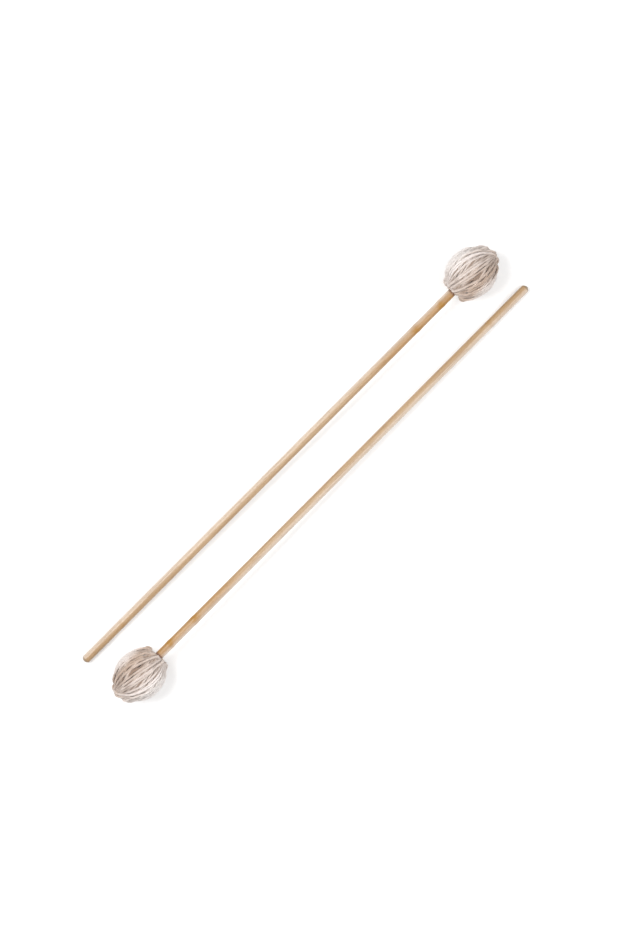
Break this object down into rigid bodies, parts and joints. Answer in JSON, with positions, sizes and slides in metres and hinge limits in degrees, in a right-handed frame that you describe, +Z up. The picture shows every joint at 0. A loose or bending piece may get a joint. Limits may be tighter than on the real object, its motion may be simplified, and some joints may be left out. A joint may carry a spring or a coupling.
{
  "type": "vibraphone mallet pair",
  "caption": "Long percussion mallets with slender rattan shafts and yarn-wound, acorn-shaped heads over rubber cores, lying side by side with their heads at opposite ends.",
  "frame": {"origin": "on the resting surface, under the middle of the pair", "axes": "+X along the shafts towards mallet A's head, +Y towards mallet A, +Z up"},
  "size_m": [0.3898, 0.0652, 0.0333],
  "materials": {
    "rattan": "clear lacquer over sanded rattan",
    "core_rubber": "moulded matt",
    "cured_glue": "cured contact glue",
    "yarn_inner": "tightly wound cotton and wool yarn",
    "yarn": "soft loosely spun cream yarn",
    "thread": "twisted binding thread"
  },
  "bodies": {
    "mallet_a": {"rattan_shaft_a": "rattan", "rubber_core_a": "core_rubber", "core_glue_a": "cured_glue", "yarn_anchor_a": "yarn_inner", "inner_winding_a": "yarn_inner", "outer_winding_a": "yarn", "neck_binding_a": "thread", "crown_binding_a": "thread"},
    "mallet_b": {"rattan_shaft_b": "rattan", "rubber_core_b": "core_rubber", "core_glue_b": "cured_glue", "yarn_anchor_b": "yarn_inner", "inner_winding_b": "yarn_inner", "outer_winding_b": "yarn", "neck_binding_b": "thread", "crown_binding_b": "thread"}
  },
  "joints": [
    {"name": "mallet_b_lift", "type": "slide", "parent": "mallet_a", "child": "mallet_b", "axis": [0, 0, 1], "range_m": [0, 0.1]}
  ]
}
